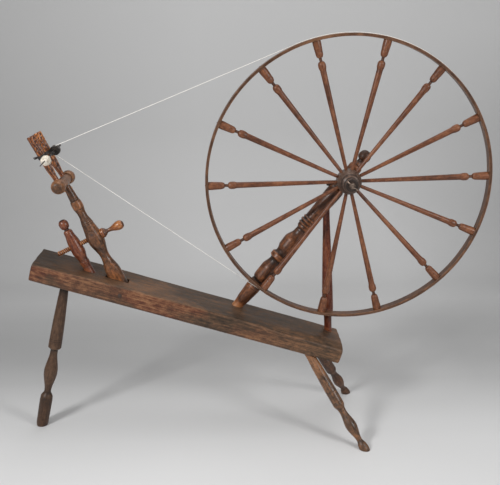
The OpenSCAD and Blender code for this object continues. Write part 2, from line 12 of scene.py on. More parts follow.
import bpy
import numpy as np
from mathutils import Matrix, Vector


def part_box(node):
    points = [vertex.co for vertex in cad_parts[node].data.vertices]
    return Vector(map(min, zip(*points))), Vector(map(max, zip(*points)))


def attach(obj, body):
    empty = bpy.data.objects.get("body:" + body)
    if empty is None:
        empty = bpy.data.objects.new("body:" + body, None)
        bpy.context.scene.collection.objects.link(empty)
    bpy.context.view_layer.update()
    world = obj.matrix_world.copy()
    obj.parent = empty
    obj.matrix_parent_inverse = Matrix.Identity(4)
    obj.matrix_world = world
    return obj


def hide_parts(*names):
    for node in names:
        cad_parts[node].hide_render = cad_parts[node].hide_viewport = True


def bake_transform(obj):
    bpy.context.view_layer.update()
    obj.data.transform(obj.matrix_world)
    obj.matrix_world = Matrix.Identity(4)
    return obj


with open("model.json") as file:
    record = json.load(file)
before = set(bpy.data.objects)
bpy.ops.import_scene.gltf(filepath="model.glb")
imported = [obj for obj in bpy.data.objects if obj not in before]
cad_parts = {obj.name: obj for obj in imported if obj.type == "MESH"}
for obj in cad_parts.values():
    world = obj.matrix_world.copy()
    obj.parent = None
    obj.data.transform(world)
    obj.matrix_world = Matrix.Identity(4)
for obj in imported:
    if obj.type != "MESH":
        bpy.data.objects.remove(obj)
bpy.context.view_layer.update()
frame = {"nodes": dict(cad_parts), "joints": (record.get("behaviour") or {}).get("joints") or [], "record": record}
MM = 0.001

# %% [markdown]
# ## The camera
# The view stands a little above the bench and looks down on it. A lens of 54 mm at under
# three metres gives the gentle perspective of someone who stands across a room.

# %% Place the camera
def add_object(name, data):
    """A new object in the scene, for this camera, mesh or lamp."""
    made = bpy.data.objects.new(name, data)
    bpy.context.scene.collection.objects.link(made)
    return made


camera = add_object("camera", bpy.data.cameras.new("camera"))
camera.data.lens = 54
camera.location = (-0.1215, -2.859, 1.631)
look_down, look_right = 16.33, 2.03
camera.rotation_euler = (math.radians(90 - look_down), 0, math.radians(-look_right))
bpy.context.scene.camera = camera
print("camera at", tuple(camera.location))

# %% [markdown]
# ## The wheel's own measures
# Two slopes rule this object. The bench falls 17 degrees to the wheel end, and the spindle
# post leans 25 degrees the other way. Each is a small frame of directions, so that a piece
# can be drawn upright and then carried to its place.

# %% Measures that several pieces share
slope = math.radians(17)
lean = math.radians(25)
bench_middle = np.array([-252.5, 0, 559]) * MM
bench_length, bench_width, bench_thick, bench_back = 1277 * MM, 210 * MM, 73 * MM, 12 * MM
down_bench = np.array([math.cos(slope), 0, -math.sin(slope)])
off_bench = np.array([math.sin(slope), 0, math.cos(slope)])
up_post = np.array([-math.sin(lean), 0, math.cos(lean)])
out_post = np.array([math.cos(lean), 0, math.sin(lean)])
back = np.array([0.0, 1.0, 0.0])
joints = {joint["name"]: joint for joint in frame["joints"]}
axle_middle = np.array(joints["wheel_spin"]["pos_m"])


def on_top(along, across=0.0, up=0.0):
    """A point on the bench's top, in mm along it from its middle, across it and above it."""
    return bench_middle + (along * down_bench + across * back + up * off_bench) * MM


post_foot = on_top(-313)
print("axle", axle_middle, "post foot", post_foot.round(3))

# %% [markdown]
# ## Turning on the lathe, in numbers
# Legs, posts, spokes and knobs are all turned, so one function can make them. A turned
# shape is a list of stations along the axis, each with a diameter and the way that the
# tool came there: a straight line, an easy S curve, a dome that rises steeply and levels
# off, or a dive that starts level and drops. We could spin a mesh with a modifier, but a
# grid of points worked out at once lets us cut flats, flutes and threads into it as well.

# %% Outline of a turned piece
def outline(stations, curve_steps=12, line_step=9.0):
    """Distances and radii in metres. With t from 0 to 1 on a stretch, ease is
    (1 - cos 180t) / 2, dome is sin 90t over 1 - cos 90t, and dive is the same turned. A
    station that names no way is reached by a line."""
    distance, radius = [float(stations[0][0])], [stations[0][1] / 2]
    for (z0, d0, *_), (z1, d1, *way) in zip(stations, stations[1:]):
        shape = way[0] if way else "line"
        count = curve_steps if shape != "line" else max(1, int(abs(z1 - z0) / line_step))
        t = np.arange(1, count + 1) / count
        rise, level = np.sin(t * math.pi / 2), 1 - np.cos(t * math.pi / 2)
        along, across = {"line": (t, t), "ease": (t, (1 - np.cos(t * math.pi)) / 2),
                         "dome": (level, rise), "dive": (rise, level)}[shape]
        distance.extend(z0 + (z1 - z0) * along)
        radius.extend((d0 + (d1 - d0) * across) / 2)
    return np.array(distance) * MM, np.array(radius) * MM


def soften(z, r, reach=5 * MM):
    """The radius as a mean of its neighbours, with weights exp(-(dz / reach)^2)."""
    weight = np.exp(-((z[:, None] - z[None, :]) / reach) ** 2)
    weight = weight * np.abs(np.gradient(z) + 1e-9)[None, :]
    return (weight @ r) / weight.sum(1)


def ripple(points, size, seed):
    """Smooth noise: the mean of ten plane waves in random directions, from about -1 to 1."""
    draw = np.random.default_rng(seed)
    waves = draw.normal(size=(10, 3))
    waves *= (2 * math.pi / size * draw.uniform(0.6, 1.5, (10, 1))
              / np.linalg.norm(waves, axis=1)[:, None])
    return np.sin(points @ waves.T + draw.uniform(0, 2 * math.pi, 10)).mean(-1) * 1.6


def step(x, low, high):
    """0 below low, 1 above high, and t^2 (3 - 2t) between."""
    t = np.clip((x - low) / (high - low), 0, 1)
    return t * t * (3 - 2 * t)


def unit(vectors):
    """One vector, or one in each row, at length 1."""
    return vectors / np.linalg.norm(vectors, axis=-1, keepdims=True)


def polar(r, angle, z):
    """Points (r cos angle, r sin angle, z)."""
    return np.stack([r * np.cos(angle), r * np.sin(angle), z], -1)


ball = [(0, 0), (10, 20, "dome"), (20, 0, "dive")]
print("outline of a ball:", outline(ball, 3)[1].round(4))

# %% [markdown]
# ## From a grid of points to a mesh
# Every surface here is a grid of rings. Its faces follow from the grid by counting, its
# ends are closed with a point in the middle, or the last ring is joined to the first.
# Two attributes go with it: grain holds the place in the piece's own upright frame, so
# that the wood's figure runs along each piece, and wear says where a crest stands proud
# and is rubbed bright, or where a groove holds old dirt. The wear values also carry painted
# shade in waists and on parts that stand in shade, and painted highlight on swells.

# %% Rings to mesh
def ring_faces(rows, around, joined=False):
    """Faces of a grid of rings: row i, place j to row i + 1, place j + 1, facing outwards."""
    i = np.arange(rows if joined else rows - 1)[:, None]
    j = np.arange(around)[None, :]
    k, below = (j + 1) % around, (i + 1) % rows
    corners = [i * around + j, i * around + k, below * around + k, below * around + j]
    return np.stack(corners, -1).reshape(-1, 4)


def make_piece(name, points, faces, attributes, sharp=40):
    """A mesh object at the origin from points, faces and attributes of its points."""
    mesh = bpy.data.meshes.new(name)
    mesh.from_pydata(points.tolist(), [], faces)
    for key, values in attributes.items():
        kind, field = ("FLOAT_VECTOR", "vector") if np.ndim(values) == 2 else ("FLOAT", "value")
        layer = mesh.attributes.new(key, kind, "POINT")
        layer.data.foreach_set(field, np.asarray(values, np.float32).ravel())
    mesh.polygons.foreach_set("use_smooth", np.ones(len(mesh.polygons), bool))
    mesh.set_sharp_from_angle(angle=math.radians(sharp))
    mesh.update()
    return add_object(name, mesh)


def points_of(piece):
    """The places of a piece's points, one in each row."""
    points = np.empty(len(piece.data.vertices) * 3)
    piece.data.vertices.foreach_get("co", points)
    return points.reshape(-1, 3)


def closed_rings(rings):
    """Points and faces of a stack of rings, (rows, around, 3), with both ends closed."""
    rows, around = rings.shape[:2]
    points = np.concatenate([rings.reshape(-1, 3), rings[:1].mean(1), rings[-1:].mean(1)])
    faces = ring_faces(rows, around).tolist()
    end, top = rows * around, (rows - 1) * around
    pairs = [(j, (j + 1) % around) for j in range(around)]
    faces += [[end, k, j] for j, k in pairs] + [[end + 1, top + j, top + k] for j, k in pairs]
    return points, faces


def capped(values):
    """Values of a stack's points, and 0 for the two middles that close it."""
    return np.append(values.ravel(), [0, 0])


def frame_along(start, end, side):
    """Three directions as rows: sideways, across and along, from start to end."""
    along = unit(end - start)
    across = unit(np.cross(along, side))
    return np.array([np.cross(across, along), across, along])


def add_rows(z, r, places):
    """The outline with more rows at these distances, its shape unchanged."""
    for place in sorted(places):
        k = int(np.clip(np.searchsorted(z, place), 1, len(z) - 1))
        radius = np.interp(place, z[k - 1:k + 1], r[k - 1:k + 1])
        z, r = np.insert(z, k, place), np.insert(r, k, radius)
    return z, r


seeds = iter(range(1, 1000))


def turned(name, stations, start, end, side=(0, 1, 0), around=48, shape=None, line_step=3.0,
           lines=(), zones=(), wobble=0.12 * MM, sharp=40):
    """A turned piece on the axis from start to end. Its radius is the outline's, times a
    slight oval, less the hand's ripple and the chisel's lines, each exp(-(dz / 0.8 mm)^2)
    deep. shape(angle, z, r) may cut flats, flutes or a thread into it, and returns the new
    radius with what the cut adds to the wear. Zones from z0 to z1 add to the wear too. The
    wear also holds painted shade, in waists and in zones that stand in shade, and painted
    highlight on swells."""
    seed, chisel, edge = next(seeds), 0.8, 8 * MM
    z, r = outline(stations, line_step=line_step)
    z, r = add_rows(z, r, [(at + k * chisel) * MM for at, _ in lines for k in range(-2, 3)])
    # The first term is rubbing on crests and dirt in fine grooves; the second, broad one is painted shade that
    # darkens a turning's waists and painted highlight that lightens its swells.
    wear_and_shading = (0.6 * np.clip((r - soften(z, r)) / (0.9 * MM), -1, 1)
            + 0.5 * np.clip((r - soften(z, r, 24 * MM)) / (5 * MM), -1, 1))
    for at, depth in lines:
        notch = np.exp(-((z - at * MM) / (chisel * MM)) ** 2)
        r, wear_and_shading = r - depth * MM * notch, wear_and_shading - 1.2 * notch
    for low, high, amount in zones:
        wear_and_shading = wear_and_shading + (amount / (1 + np.exp(-(z - low * MM) / edge * 4))
                       / (1 + np.exp((z - high * MM) / edge * 4)))
    angle = np.linspace(0, 2 * math.pi, around, endpoint=False)
    zz, aa = np.meshgrid(z, angle, indexing="ij")
    rr, worn = (np.repeat(values[:, None], around, 1) for values in (r, wear_and_shading))
    if shape is not None:
        rr, cut_wear = shape(aa, zz, rr)
        worn = worn + cut_wear
    local = polar(rr, aa, zz)
    hand = ripple(local, 60 * MM, seed) + 0.6 * ripple(local, 14 * MM, seed + 50) - 1.5
    oval = 1 - 0.004 * (1 + np.cos(2 * aa + seed))
    local = polar(rr * oval + wobble * hand * (rr > 2 * MM), aa, zz)
    axes = frame_along(start, end, side)
    points, faces = closed_rings(local @ axes + start)
    grain = closed_rings(local)[0] + seed * 0.37
    worn = capped(np.clip(worn, -1.2, 1.4))
    return make_piece(name, points, faces, {"grain": grain, "wear_and_shading": worn}, sharp)


print("faces of 3 rings of 4:", len(ring_faces(3, 4)))

# %% [markdown]
# A finished piece takes the place of its CAD node: it rides on the same body, and its box is
# printed against the node's.

# %% Fit a piece into the frame
bodies = frame["record"]["behaviour"]["bodies"]
node_body = {node: body for body, nodes in bodies.items() for node in nodes}


def paint(piece, material):
    """Gives a piece this one material."""
    piece.data.materials.clear()
    piece.data.materials.append(material)


def fit(piece, node, material, replace=True):
    """Gives a piece its material and body, and hides the node that it replaces."""
    paint(piece, material)
    if replace:
        low, high = np.array(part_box(node))
        points = points_of(piece)
        spare = min((points.min(0) - low).min(), (high - points.max(0)).min())
        print(f"{piece.name}: inside its solid's box by {spare / MM:.1f} mm")
        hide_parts(node)
    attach(piece, node_body[node])
    return piece


def put(node, material, stations, start, end, **how):
    """A turned piece, fitted in the place of its node."""
    return fit(turned(node, stations, start, end, **how), node, material)

# %% [markdown]
# ## Shader arithmetic
# A material is a graph, and a graph reads best as sums and products. This class wraps a
# socket: +, - and * add a Math node, and node() adds any other kind.

# %% The Wire class
class Wire:
    """A value that runs through a material's nodes."""

    def __init__(self, tree, socket=None):
        self.tree, self.socket = tree, socket

    def node(self, kind, inputs=None, out=0, stops=None, **settings):
        made = self.tree.nodes.new("ShaderNode" + kind)
        for key, value in settings.items():
            setattr(made, key, value)
        if stops:
            while len(made.color_ramp.elements) < len(stops):
                made.color_ramp.elements.new(1)
            for element, (place, colour) in zip(made.color_ramp.elements, stops):
                element.position, element.color = place, (*colour, 1)
        for key, value in (inputs or {}).items():
            if isinstance(value, Wire):
                value.into(made.inputs[key])
            else:
                made.inputs[key].default_value = value
        return Wire(self.tree, made.outputs[out])

    def into(self, socket):
        self.tree.links.new(self.socket, socket)

    def math(self, operation, *values):
        return self.node("Math", dict(enumerate(values)), operation=operation)

    def __add__(self, other):
        return self.math("ADD", self, other)

    def __mul__(self, other):
        return self.math("MULTIPLY", self, other)

    def __sub__(self, other):
        return self.math("SUBTRACT", self, other)

    def __rsub__(self, other):
        return self.math("SUBTRACT", other, self)

    def clip(self, low, high):
        """0 at low, 1 at high, and straight between."""
        return self.node("MapRange", {"Value": self, "From Min": low, "From Max": high})

    def colours(self, *stops):
        return self.node("ValToRGB", {"Fac": self}, stops=stops)

    def tint(self, under, over):
        """The colour over on the colour under, by this value."""
        return self.node("Mix", {0: self, 6: under, 7: over}, out=2, data_type="RGBA")

    def noise(self, place, size, stretch=(1, 1, 1), detail=3.0, rough=0.5, warp=0.0):
        """Noise whose features are about size metres wide, stretched along an axis."""
        scale = tuple(1 / (size * s) for s in stretch)
        spot = self.node("Mapping", {"Vector": place, "Scale": scale})
        return self.node("TexNoise", {"Vector": spot, "Scale": 1.0, "Detail": detail,
                                      "Roughness": rough, "Distortion": warp})


def tone(red, green, blue):
    """A colour from 0 to 255 as the shader's own linear values."""
    return tuple(((c / 255 + 0.055) / 1.055) ** 2.4 if c > 10 else c / 255 / 12.92
                 for c in (red, green, blue))


def begin(name):
    """A new material's shader and a wire into its nodes."""
    material = bpy.data.materials.new(name)
    material.use_nodes = True
    return material, material.node_tree.nodes["Principled BSDF"], Wire(material.node_tree)


def finish(material, shader, wire, colour, rough, height, depth, fixed):
    """Joins colour, roughness and a height map of that depth in metres to the shader."""
    bump = wire.node("Bump", {"Height": height, "Distance": depth, "Strength": 0.9})
    for key, value in (("Base Color", colour), ("Roughness", rough), ("Normal", bump)):
        value.into(shader.inputs[key])
    for key, value in fixed.items():
        shader.inputs[key].default_value = value
    return material


print("tone of mid grey", round(tone(128, 128, 128)[0], 3))

# %% [markdown]
# ## Old wood
# Old turned wood has four things at four scales: fibres a few tenths of a millimetre wide
# and very long, a slower figure of darker and lighter bands, a patina in soft patches, and
# dirt in the grooves against rubbed crests. The first three are noise that reads the grain
# attribute and the last reads wear, so all of them follow each piece. The wear values also
# carry painted shade, tinted like dirt, and painted highlight, tinted like rubbed wood. An
# image of wood would repeat and stretch here.

# %% The wood finish
def between(one, other, share):
    """A colour that lies this share of the way from one to the other."""
    return tuple(a + (b - a) * share for a, b in zip(one, other))


def wood(name, base, bright, rough=0.42, gloss=0.08, fibre=1.0, patch=0.08, worn=0.55,
         grime_and_shade=0.8, bare=0.35, relief=0.35 * MM, contrast=1.0, long=1.0, cast=(0, 0, 0)):
    """base is the colour of the finish and bright that of bare wood; where the wear passes
    1.1, fresh wood shows. long stretches fibres and figure, as in a sawn plank. cast colours
    a second finish, which shows in patches where the attribute of that name allows."""
    material, shader, wire = begin(name)
    base, bright, cast = tone(*base), tone(*bright), tone(*cast)
    black, soot = (0, 0, 0), (0.004, 0.003, 0.002)
    # The second colour is for dirt, and also for painted shade in hollows and shaded parts.
    dark, dirt_and_shade = between(base, black, 0.66), between(base, soot, 0.88)
    fresh = between(bright, (1.0, 0.55, 0.25), 0.3)
    grain = wire.node("Attribute", out=1, attribute_name="grain")
    wear_and_shading = wire.node("Attribute", out=2, attribute_name="wear_and_shading")
    fibres = wire.noise(grain, 1.3 * MM, (1, 1, 26 * long), detail=4, rough=0.65)
    figure = wire.noise(grain, 6 * MM, (1, 1, 9 * long), detail=4, rough=0.6, warp=0.4)
    patina = wire.noise(grain, patch, (1, 1, 2.0), detail=4, rough=0.6)
    blotch = wire.noise(grain, 13 * MM, (1, 1, 1.3 * long ** 0.5), detail=6, rough=0.74)
    lathe = wire.noise(grain, 1.0 * MM, (60, 60, 1), detail=2)
    specks = wire.noise(grain, 2.4 * MM, (1, 1, 3), detail=3).clip(0.60, 0.70)
    second = wire.node("Attribute", out=2, attribute_name="cast") * patina.clip(0.42, 0.56)
    shade = ((figure - 0.5) * (0.6 * contrast) + (patina - 0.5) * (0.9 * contrast)
             + (blotch - 0.5) * (0.8 * contrast) + (fibres - 0.5) * (0.9 * fibre) + 0.5)
    colour = shade.colours((0.22, dark), (0.50, base), (0.80, between(base, bright, 0.75)))
    other = shade.colours((0.25, between(cast, black, 0.6)), (0.52, cast), (0.8, bright))
    colour = second.tint(colour, other)
    colour = (blotch.clip(0.56, 0.70) * bare).tint(colour, (*bright, 1))
    # Crests are tinted towards bare wood: rubbing, and on swells of turnings and on the maidens' crests also
    # painted highlight.
    rubbed_and_highlight = wear_and_shading.clip(0.08, 1.0) * (blotch.clip(0.38, 0.60) * 0.65 + 0.35) * worn
    colour = rubbed_and_highlight.tint(colour, (*bright, 1))
    colour = (wear_and_shading.clip(1.1, 1.4) * 0.7).tint(colour, (*fresh, 1))
    # Hollows are tinted towards dirt: old dirt, and also painted shade in waists, in deep necks, under the bench
    # and on parts that stand in shade.
    grooves_and_shade = (0 - wear_and_shading).clip(0.05, 0.85) * grime_and_shade
    old_dirt = (1 - blotch).clip(0.55, 0.68) * (0.35 * grime_and_shade)
    colour = grooves_and_shade.math("MAXIMUM", grooves_and_shade, old_dirt).tint(colour, (*dirt_and_shade, 1))
    colour = (specks * 0.5).tint(colour, (*dirt_and_shade, 1))
    polish = blotch.clip(0.35, 0.65) * 0.24 + (rough - 0.12) + specks * 0.2 + grooves_and_shade * 0.2
    height = fibres * 0.4 + blotch * 0.35 + lathe * 0.15 - specks * 0.4
    return finish(material, shader, wire, colour, polish, height, relief,
                  {"Coat Weight": gloss, "Coat Roughness": 0.3, "Specular IOR Level": 0.35})


woods = {name: wood(name + "_wood", base, bright, **more) for name, base, bright, more in (
    ("spoke", (104, 60, 37), (150, 99, 66), dict(worn=0.4, grime_and_shade=0.55)),
    ("rim", (82, 54, 37), (136, 96, 68), dict(patch=0.2, worn=0.5, long=3)),
    ("post", (88, 51, 29), (150, 92, 54), dict(gloss=0.2, worn=0.8, contrast=1.3)),
    ("spindle", (84, 56, 38), (160, 100, 58), dict(rough=0.36, gloss=0.2, contrast=1.3)),
    ("brace", (90, 38, 20), (140, 84, 52), dict(rough=0.36, gloss=0.15)),
    ("tension", (98, 50, 32), (150, 92, 60), dict(rough=0.34, gloss=0.25, contrast=1.2)),
    ("leg", (70, 47, 31), (104, 78, 58), dict(rough=0.48, bare=0.2)),
    ("front_leg", (84, 61, 45), (158, 108, 70), dict(rough=0.4, gloss=0.2, contrast=1.2)),
    ("rear_leg", (74, 48, 33), (124, 86, 60), dict(rough=0.48, bare=0.2)),
    ("hub", (77, 57, 46), (122, 97, 82), dict(gloss=0.15)),
    ("bar", (98, 66, 44), (156, 104, 66), dict(rough=0.4, gloss=0.12, contrast=1.2)),
    # The maidens' many bright bare patches and rubbed crests stand partly for painted glints on their glossy
    # surface.
    ("maiden", (108, 53, 22), (208, 134, 70),
     dict(rough=0.3, gloss=0.4, worn=0.85, bare=0.6, contrast=1.7)),
    ("screw", (126, 68, 32), (194, 134, 80), dict(rough=0.3, gloss=0.4, worn=0.75, contrast=1.2)),
    ("plug", (92, 70, 62), (150, 118, 104), dict(rough=0.4, grime_and_shade=0.5, contrast=0.5)),
    ("whorl", (34, 27, 23), (96, 80, 68), dict(rough=0.35, gloss=0.2)),
    ("bench", (77, 58, 42), (142, 100, 69),
     dict(rough=0.5, patch=0.12, gloss=0.03, fibre=0.9, contrast=1.15, relief=0.6 * MM, long=3,
          cast=(88, 46, 29))))}
print("woods", len(woods))

# %% [markdown]
# ## Iron, leather, wool and cotton
# The others follow the same plan with two colours: dark iron with a little rust, creased
# leather, and the pale fibres of wool and cotton.

# %% The other finishes
def plain(name, dark, light, rough, size, depth, fixed, streak=(1, 1, 1)):
    """Two colours in patches of this size in mm, with finer noise, and a relief of that depth."""
    material, shader, wire = begin(name)
    place = wire.node("TexCoord", out=3)
    patch = wire.noise(place, size * MM, streak, detail=5, rough=0.6)
    fine = wire.noise(place, size * MM / 6, streak, detail=3)
    colour = (patch * 0.7 + fine * 0.3).colours((0.36, tone(*dark)), (0.66, tone(*light)))
    polish = fine.clip(0.3, 0.7) * 0.2 + (rough - 0.1)
    height = patch * 0.5 + fine * 0.5
    return finish(material, shader, wire, colour, polish, height, depth * MM, fixed)


iron, pale_highlit_iron, leather, wool, cotton = (plain(*settings) for settings in (
    ("iron", (26, 23, 22), (74, 62, 56), 0.45, 14, 0.15, {"Metallic": 0.75}),
    # A lighter copy of the iron, for the axle and its pin: partly the paler colour of the axle's end, partly
    # painted highlight on it.
    ("pale_highlit_iron", (62, 52, 47), (168, 146, 130), 0.35, 9, 0.3, {"Metallic": 0.7}),
    ("leather", (16, 14, 13), (50, 42, 38), 0.55, 6, 0.5, {}),
    ("wool", (212, 200, 182), (250, 245, 234), 0.9, 7, 0.6, {"Sheen Weight": 0.4}),
    ("cotton", (226, 222, 214), (250, 248, 244), 0.85, 5, 0.2, {})))
print("materials", len(bpy.data.materials))

# %% [markdown]
# ## The bench
# A thick plank, rounded by use. Its section is a rounded rectangle whose corners wear more
# towards the ends. The spindle post has to tilt in it, so its slot is really cut, with a
# Boolean of a slanting box; the other sockets are filled by their tenons.

# %% Make the bench
def plank_rings(a, b, radius):
    """Rings of a rounded rectangle, counter-clockwise from +Y: half sizes a and b by row,
    and a corner radius by row and corner."""
    arcs = []
    for corner, (sy, sz) in enumerate([(1, 1), (-1, 1), (-1, -1), (1, -1)]):
        turn = np.radians(90 * corner + np.linspace(0, 90, 8))
        r = np.minimum(radius[:, corner:corner + 1], np.minimum(a, b)[:, None])
        arcs.append(np.stack([sy * (a[:, None] - r) + r * np.cos(turn),
                              sz * (b[:, None] - r) + r * np.sin(turn)], -1))
    parts = []
    for corner in range(4):
        here, there = arcs[corner][:, -1:], arcs[(corner + 1) % 4][:, :1]
        t = np.linspace(0, 1, 30 if corner % 2 == 0 else 12)[1:-1][None, :, None]
        parts += [arcs[corner], here * (1 - t) + there * t]
    return np.concatenate(parts, 1)


def make_bench():
    """The plank along x, its top hollowed and its edges worn by step() times ripple()."""
    half, half_width, half_thick = bench_length / 2, bench_width / 2, bench_thick / 2
    edge = 5 * MM
    bevel = np.radians(np.linspace(90, 0, 6))
    end = half - edge * (1 - np.sin(bevel))
    u = np.concatenate([-end, np.linspace(-half + edge, half - edge, 240)[1:-1], end[::-1]])
    rounded = edge * (1 - np.cos(bevel))
    inset = np.concatenate([rounded, np.zeros(len(u) - 2 * len(end)), rounded[::-1]])
    towards_end = step(np.abs(u), 0.40, half)
    below = 8 + 0 * u
    radius = np.stack([8 + 5 * towards_end, 9 + 6 * towards_end, below, below], 1) * MM
    ring = plank_rings(half_width - inset, half_thick - inset, radius)
    local = np.concatenate([np.repeat(u[:, None, None], ring.shape[1], 1), ring], 2)
    x, y, z = local[..., 0], local[..., 1], local[..., 2]
    upper = step(z, -0.01, 0.03)
    front_edge = step(-y, 0.045, half_width) * upper
    hollow = 1.2 * MM * (1 + ripple(local, 0.16, 5)) + 0.5 * MM * (1 + ripple(local, 0.05, 6))
    z = z - upper * hollow * 0.6 - front_edge * 8 * MM * step(x, 0.20, 0.42)
    y = y + np.sign(y) * -0.5 * MM * (1 + ripple(local, 0.09, 7)) * step(np.abs(y), 0.06, 0.1)
    at_end = step(np.abs(x), half - 0.03, half)
    x = x - np.sign(x) * 1.2 * MM * (1 + ripple(local, 0.06, 8)) * at_end
    from_corner = (np.minimum(half_width - np.abs(local[..., 1]), 0.05)
                   + np.minimum(half_thick - np.abs(local[..., 2]), 0.05))
    rubbed_edge = step(-from_corner, -0.012, -0.001) * (0.4 + 0.6 * upper)
    front = step(-y, half_width - 0.006, half_width)
    worn = rubbed_edge * (0.3 + 0.9 * step(ripple(local, 0.07, 9), -0.5, 0.5))
    worn = np.maximum(worn, front * (0.02 + 0.45 * ripple(local * [1, 1, 3], 0.12, 10)))
    dull = 0.12 + 0.42 * step(-x, 0.1, 0.5) - 0.25 * step(x, 0.2, 0.6)
    worn = np.maximum(worn, step(x, 0.58, 0.635) * 0.7) - dull * upper * (1 - front)
    local = np.stack([x, y, z], -1)
    axes = np.array([down_bench, back, off_bench])
    centre = bench_middle + bench_back * back - half_thick * off_bench
    points, faces = closed_rings(local @ axes + centre)
    grain, _ = closed_rings(local[..., [1, 2, 0]])
    cast = front * (0.55 + 0.6 * step(ripple(local, 0.3, 11), -0.4, 0.4)) * step(-x, -0.5, -0.2)
    attributes = {"grain": grain, "wear_and_shading": capped(worn), "cast": capped(cast)}
    plank = make_piece("bench", points, faces, attributes, 50)
    cutter = add_object("slot_cutter", bpy.data.meshes.new("slot_cutter"))
    half_slot = np.array([35, 22, 150])
    corners = np.array([[i, j, k] for k in (-1, 1) for j in (-1, 1) for i in (-1, 1)])
    corners = corners * half_slot * MM @ np.array([out_post, back, up_post]) + post_foot
    sides = [[0, 2, 3, 1], [4, 5, 7, 6], [0, 1, 5, 4], [2, 6, 7, 3], [0, 4, 6, 2], [1, 3, 7, 5]]
    cutter.data.from_pydata(corners.tolist(), [], sides)
    cut = plank.modifiers.new("slot", "BOOLEAN")
    cut.object, cut.operation, cut.solver = cutter, "DIFFERENCE", "EXACT"
    seen = plank.evaluated_get(bpy.context.evaluated_depsgraph_get())
    solid = bpy.data.meshes.new_from_object(seen)
    plank.modifiers.clear()
    plank.data = solid
    bpy.data.objects.remove(cutter)
    return plank


bench = fit(make_bench(), "bench", woods["bench"])
print("bench faces", len(bench.data.polygons))

# %% [markdown]
# ## The legs
# Three legs, turned from the foot up. They slant, so each foot is cut flat on the ground.

# %% Turn the legs
def stand_flat(piece, start, end):
    """Points below the floor slide up the leg's axis until they lie on it."""
    along = unit(end - start)
    points = points_of(piece)
    points += np.clip(-points[:, 2:] / along[2], 0, None) * along
    piece.data.vertices.foreach_set("co", points.ravel())
    piece.data.update()
    return piece


def left_leg(length):
    return [(-16, 14), (18, 49, "dome"), (116, 52), (134, 50, "ease"), (162, 28, "ease"),
            (250, 55, "ease"), (345, 30, "ease"), (352, 31), (366, 54, "ease"), (394, 53),
            (485, 48), (573, 40), (length - 12, 32), (length + 10, 32)]


def right_leg(length):
    return [(-22, 20), (4, 39, "dome"), (18, 36), (42, 23, "ease"), (106, 46, "ease"),
            (168, 29, "ease"), (178, 31), (203, 46, "ease"), (265, 46), (length - 57, 41),
            (length - 25, 36), (length + 16, 36)]


left_lines = ((134, 0.8), (352, 1.0), (396, 0.5), (404, 0.5))
right_lines = ((173, 0.8), (205, 0.5), (212, 0.5), (258, 0.5))
# The left leg's zone near its head is painted shadow under the bench; the front leg is lighter near its head and
# darker at its foot.
for node, foot, head, turning, lines, zones, finish_name in (
        ("leg_left", [-900.5, 0, 0], on_top(-507, 0, -73), left_leg, left_lines,
         ((610, 700, -0.7),), "leg"),
        ("leg_front", [429.5, -240, 0], on_top(513, -60, -73), right_leg, right_lines,
         ((330, 420, 0.9), (-20, 40, -0.5)), "front_leg"),
        ("leg_rear", [429.5, 240, 0], on_top(550, 60, -73), right_leg, right_lines,
         (), "rear_leg")):
    foot = np.array(foot) * MM
    length = np.linalg.norm(head - foot) / MM
    leg = turned(node, turning(length), foot, head, lines=lines, zones=zones)
    fit(stand_flat(leg, foot, head), node, woods[finish_name])

# %% [markdown]
# ## The wheel post and its brace
# The post is the show piece of the turner's work, with a vase, beads and a ball on top. A
# plain brace props it from the low end of the bench.

# %% Turn the wheel post and the brace
wheel_post_foot = on_top(191, 66)
wheel_post_axle = axle_middle + 66 * MM * back
to_axle = np.linalg.norm(wheel_post_axle - wheel_post_foot) / MM
put("wheel_post", woods["post"], [
    (-30, 44), (8, 44), (50, 54, "ease"), (98, 63), (134, 59, "ease"), (140, 53), (146, 60),
    (175, 68, "dome"), (205, 70), (246, 53, "ease"), (251, 53), (264, 74, "ease"), (276, 73),
    (288, 56, "ease"), (293, 56), (322, 72, "ease"), (355, 75), (397, 49, "ease"), (415, 47),
    (427, 60, "ease"), (433, 60), (440, 68, "ease"), (447, 60, "ease"), (455, 70, "ease"),
    (463, 60, "ease"), (470, 66, "ease"), (477, 57, "ease"), (503, 58), (to_axle - 75, 67, "ease"),
    (to_axle - 62, 67), (to_axle - 48, 56, "ease"), (to_axle + 54, 56), (to_axle + 66, 40, "dive"),
    (to_axle + 86, 26, "ease"), (to_axle + 92, 26), (to_axle + 111, 51, "dome"),
    (to_axle + 136.5, 6, "dive")],
    wheel_post_foot, wheel_post_axle, around=72,
    lines=((99, 0.8), (140, 0.8), (248, 0.8), (290, 0.8), (406, 0.6), (503, 0.5), (507, 0.5)),
    # The zone from 108 to 150 mm is dirt and painted shade in the deep neck above the foot, and the last zone is
    # painted shade over the finial, which stands in shade; the foot's zone is rubbed bright, and the bands at 240
    # to 258 and 520 to 620 mm are darker.
    zones=((-30, 22, 1.3), (108, 150, -0.8), (240, 258, -0.4), (520, 620, -0.45),
           (to_axle + 90, to_axle + 140, -1.3)))

brace_foot = on_top(590, 66)
brace_head = wheel_post_foot + (wheel_post_axle - wheel_post_foot) * 566 / to_axle
brace_length = np.linalg.norm(brace_head - brace_foot) / MM
put("post_brace", woods["brace"], [
    (-30, 31), (52, 32), (98, 46, "ease"), (176, 45), (300, 39), (brace_length - 72, 28),
    (brace_length - 1, 28)], brace_foot, brace_head, zones=((-10, 14, 0.9),))

# %% [markdown]
# ## The wheel
# The hub is turned across the bench. The hoop is a thin board, bent round until its thinned
# ends lap in a long scarf, so it is drawn as one strip a little longer than a full turn
# whose ends are wedges. The fourteen spokes are turned alike and set by eye.

